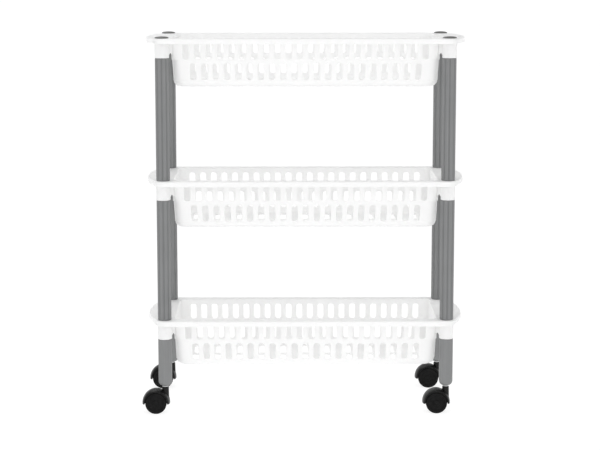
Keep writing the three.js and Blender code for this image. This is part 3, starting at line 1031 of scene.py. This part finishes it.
def wheel(name, side):
    """A wheel with a closed, dished outer face. side is -1 for a front wheel and 1 for a back one."""
    low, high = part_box(name)
    middle = (low + high) / 2
    radius = (high.z - low.z) / 2
    face = (high.y - low.y) / 2
    hub_edge_r, hub_edge_depth = WHEEL_HUB_EDGE
    bore_end = WHEEL_BORE_DEPTH - face
    profile = [(r, face - depth) for r, depth in WHEEL_HUB]
    profile += round_corner((hub_edge_r, face - hub_edge_depth), WHEEL_HUB_EDGE_R, 90, 30, 2)
    profile += [(r, face - depth) for r, depth in WHEEL_DISH + WHEEL_RIM]
    profile += round_corner((radius - WHEEL_OUTER_R, face - WHEEL_OUTER_R), WHEEL_OUTER_R, 80, 0, 5)
    profile += [
        (radius, WHEEL_GROOVE_MOUTH),
        (radius - WHEEL_GROOVE_DEPTH, WHEEL_GROOVE_HALF),
        (radius - WHEEL_GROOVE_DEPTH, -WHEEL_GROOVE_HALF),
        (radius, -WHEEL_GROOVE_MOUTH),
    ]
    profile += round_corner((radius - WHEEL_INNER_R, WHEEL_INNER_R - face), WHEEL_INNER_R, 0, -90, 4)
    profile += [
        (WHEEL_BORE_R + WHEEL_BORE_EDGE, -face),
        (WHEEL_BORE_R, WHEEL_BORE_EDGE - face),
        (WHEEL_BORE_R, bore_end),
        (0.0, bore_end),
    ]
    build = Builder()
    build.turned([(r, side * y) for r, y in profile], WHEEL_SIDES, middle, "Y")
    build.make(f"{name}_turned", wheel_plastic(middle), name, name)


# ---- Assembly ----

def post_at(corner):
    """The x and y of a post's axis, which is its cap's."""
    low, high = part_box(f"cap_{corner}")
    return ((low.x + high.x) / 2, (low.y + high.y) / 2)


def build_trolley():
    basket_white = basket_plastic()
    tube_grey = tube_plastic()
    cap_grey = cap_plastic()
    housing_black = housing_plastic()
    zinc = steel()
    bush = nylon()
    posts = {corner: post_at(corner) for corner in CORNERS}
    shoulders = {tier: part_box(f"{tier}_basket")[1].z - SLEEVE_DROP - TUBE_GAP for tier in TIERS}
    for tier in TIERS:
        basket(f"{tier}_basket", basket_white, list(posts.values()))
    for corner, post in posts.items():
        lower_tube(f"lower_tube_{corner}", post, tube_grey, shoulders["bottom"])
        tube(f"middle_tube_{corner}", post, tube_grey, shoulders["middle"])
        tube(f"upper_tube_{corner}", post, tube_grey, shoulders["top"])
        cap(f"cap_{corner}", post, cap_grey)
        plain_ring(f"caster_socket_{corner}", "root", bush, SOCKET_BORE_R, post, SOCKET_EDGE)
        plain_ring(f"grip_ring_{corner}", "root", zinc, GRIP_RING_BORE_R, post, GRIP_RING_EDGE)
        stem(f"caster_stem_{corner}", post, zinc)
        axle(f"caster_axle_{corner}", f"caster_{corner}", zinc)
        housing(corner, post, housing_black)
        wheel(f"front_wheel_{corner}", -1)
        wheel(f"back_wheel_{corner}", 1)


# ---- Studio ----

def area_light(name, place, aim, size, power):
    """A square light at place that points at aim."""
    data = bpy.data.lights.new(name, "AREA")
    data.shape = "SQUARE"
    data.size = size
    data.energy = power
    light = bpy.data.objects.new(name, data)
    light.location = place
    light.rotation_euler = (Vector(aim) - Vector(place)).to_track_quat("-Z", "Y").to_euler()
    bpy.context.scene.collection.objects.link(light)


def sweep(material):
    """The round white floor, which bends up into a low wall a long way from the trolley."""
    sides = SWEEP_SIDES
    flat = SWEEP_R - SWEEP_BEND
    profile = []
    for i in range(SWEEP_STEPS + 1):
        turn = math.radians(90 * i / SWEEP_STEPS)
        profile.append((flat + SWEEP_BEND * math.sin(turn), SWEEP_BEND * (1 - math.cos(turn))))
    profile.append((SWEEP_R, SWEEP_HEIGHT))
    points = []
    for radius, height in profile:
        for i in range(sides):
            angle = 2 * math.pi * i / sides
            points.append((radius * math.cos(angle), radius * math.sin(angle), height))
    faces = [tuple(range(sides))]
    for ring in range(len(profile) - 1):
        for i in range(sides):
            j = (i + 1) % sides
            lower = ring * sides
            upper = lower + sides
            faces.append((lower + i, lower + j, upper + j, upper + i))
    mesh = bpy.data.meshes.new("floor")
    mesh.from_pydata(points, [], faces)
    mesh.materials.append(material)
    floor = bpy.data.objects.new("floor", mesh)
    bpy.context.scene.collection.objects.link(floor)


def studio():
    """A white sweep that glows a little, a white sky, a broad sun and three small soft lights."""
    shader = Shader("floor_white", "none", Base_Color=grey(FLOOR_GREY), Roughness=1.0,
                    Specular_IOR_Level=0.0, Emission_Color=grey(1.0), Emission_Strength=FLOOR_LIGHT)
    sweep(shader.material)
    world = bpy.data.worlds.new("studio")
    world.use_nodes = True
    background = world.node_tree.nodes["Background"]
    background.inputs["Color"].default_value = grey(1.0)
    background.inputs["Strength"].default_value = WORLD_LIGHT
    bpy.context.scene.world = world
    data = bpy.data.lights.new("overhead", "SUN")
    data.energy = SUN_LIGHT
    data.angle = SUN_ANGLE
    sun = bpy.data.objects.new("overhead", data)
    sun.rotation_euler = (SUN_TILT, 0, 0)
    bpy.context.scene.collection.objects.link(sun)
    for light in AREA_LIGHTS:
        area_light(**light)


def camera():
    data = bpy.data.cameras.new("camera")
    data.sensor_width = CAMERA_SENSOR
    data.lens = CAMERA_LENS
    data.shift_y = CAMERA_SHIFT_Y
    data.clip_end = CAMERA_CLIP_END
    view = bpy.data.objects.new("camera", data)
    view.location = CAMERA_PLACE
    view.rotation_euler = (CAMERA_TILT, 0.0, CAMERA_TURN)
    bpy.context.scene.collection.objects.link(view)
    bpy.context.scene.camera = view


bpy.context.scene.view_settings.view_transform = "Standard"
bpy.context.scene.cycles.max_bounces = LIGHT_BOUNCES
bpy.context.scene.cycles.diffuse_bounces = DIFFUSE_BOUNCES
camera()
studio()
build_trolley()
